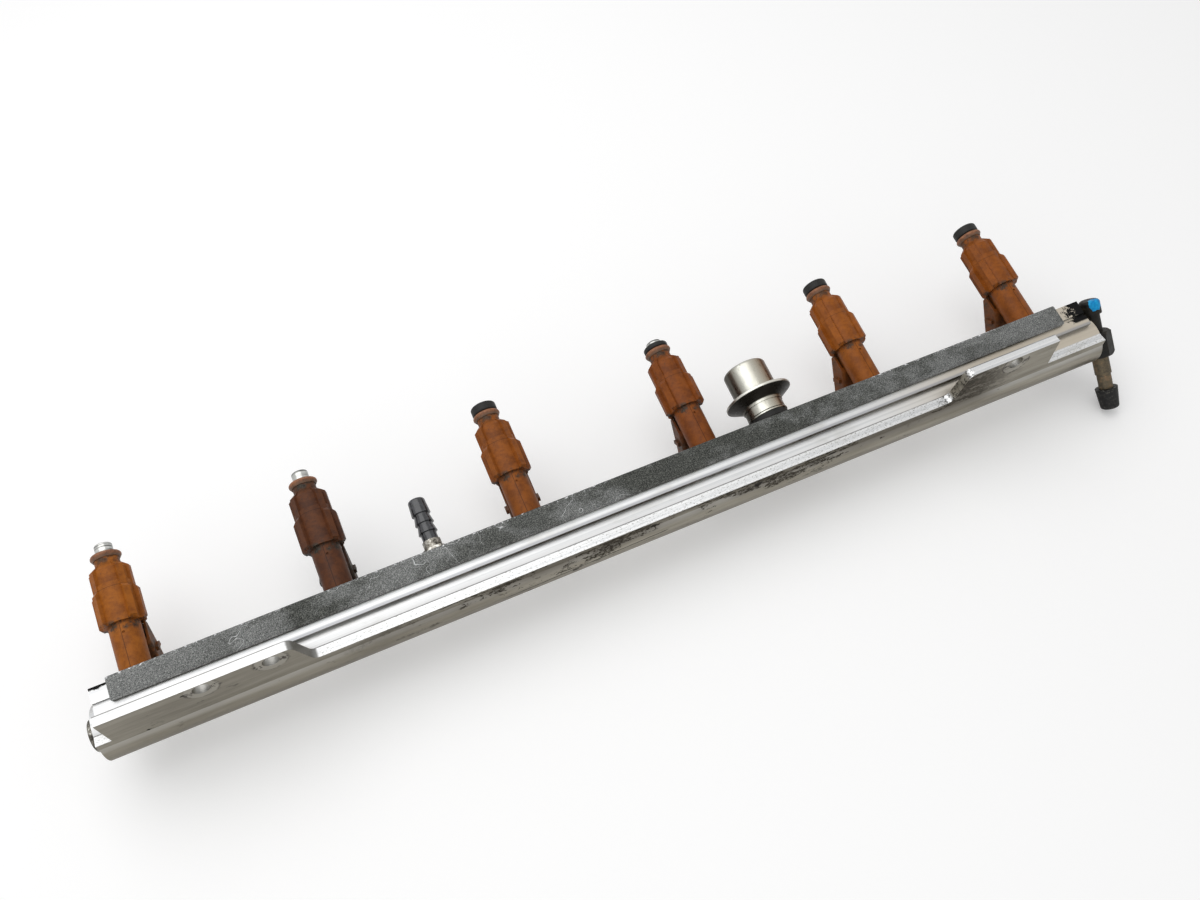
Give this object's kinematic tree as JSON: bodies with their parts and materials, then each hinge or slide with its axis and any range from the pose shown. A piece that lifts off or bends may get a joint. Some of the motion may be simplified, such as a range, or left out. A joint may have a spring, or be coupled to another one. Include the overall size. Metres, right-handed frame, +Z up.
{
  "type": "fuel rail",
  "caption": "Straight aluminium fuel rail with side-mounted injectors under a locking strip, a round pressure damper, a barbed hose nipple and a capped test valve at one end.",
  "frame": {"origin": "centre of the mounting bolt pattern, on the lugs' back faces", "axes": "+X along the rail from the plugged end to the tee, +Y out of the lugs' back faces towards the manifold, +Z up; the injectors point along +Y and 11.5 degrees up"},
  "size_m": [0.5875, 0.1266, 0.0675],
  "materials": {
    "rail": "milled and mill-finish",
    "strip": "dark speckled coating",
    "plug": "dark, dirty",
    "housing": "satin, aged brown",
    "cartridge": "bright",
    "ring": "satin",
    "seal": "matte",
    "filter": "matte",
    "terminal": "tinned",
    "fitting": "plated, dirty",
    "nipple": "gloss black",
    "damper": "plated, polished",
    "tee": "satin black",
    "valve": "tarnished",
    "cap": "matte"
  },
  "bodies": {
    "root": {"rail_extrusion": "rail", "retainer_strip": "strip", "left_end_plug": "plug", "hose_fitting": "fitting", "hose_nipple": "nipple", "damper_can": "damper", "damper_dust_ring": "seal", "damper_seal": "seal", "tee_fitting": "tee", "valve_stem": "valve", "valve_core": "valve", "dust_cap": "cap", "injector_1_housing": "housing", "injector_1_cartridge": "cartridge", "injector_1_nozzle_ring": "ring", "injector_1_inlet_seal": "seal", "injector_1_inlet_filter": "filter", "injector_1_terminals": "terminal", "injector_2_housing": "housing", "injector_2_cartridge": "cartridge", "injector_2_nozzle_ring": "ring", "injector_2_inlet_seal": "seal", "injector_2_inlet_filter": "filter", "injector_2_terminals": "terminal", "injector_3_housing": "housing", "injector_3_cartridge": "cartridge", "injector_3_nozzle_ring": "ring", "injector_3_inlet_seal": "seal", "injector_3_inlet_filter": "filter", "injector_3_terminals": "terminal", "injector_3_nozzle_seal": "seal", "injector_4_housing": "housing", "injector_4_cartridge": "cartridge", "injector_4_nozzle_ring": "ring", "injector_4_inlet_seal": "seal", "injector_4_inlet_filter": "filter", "injector_4_terminals": "terminal", "injector_4_nozzle_seal": "seal", "injector_5_housing": "housing", "injector_5_cartridge": "cartridge", "injector_5_nozzle_ring": "ring", "injector_5_inlet_seal": "seal", "injector_5_inlet_filter": "filter", "injector_5_terminals": "terminal", "injector_5_nozzle_seal": "seal", "injector_6_housing": "housing", "injector_6_cartridge": "cartridge", "injector_6_nozzle_ring": "ring", "injector_6_inlet_seal": "seal", "injector_6_inlet_filter": "filter", "injector_6_terminals": "terminal", "injector_6_nozzle_seal": "seal"}
  },
  "joints": []
}
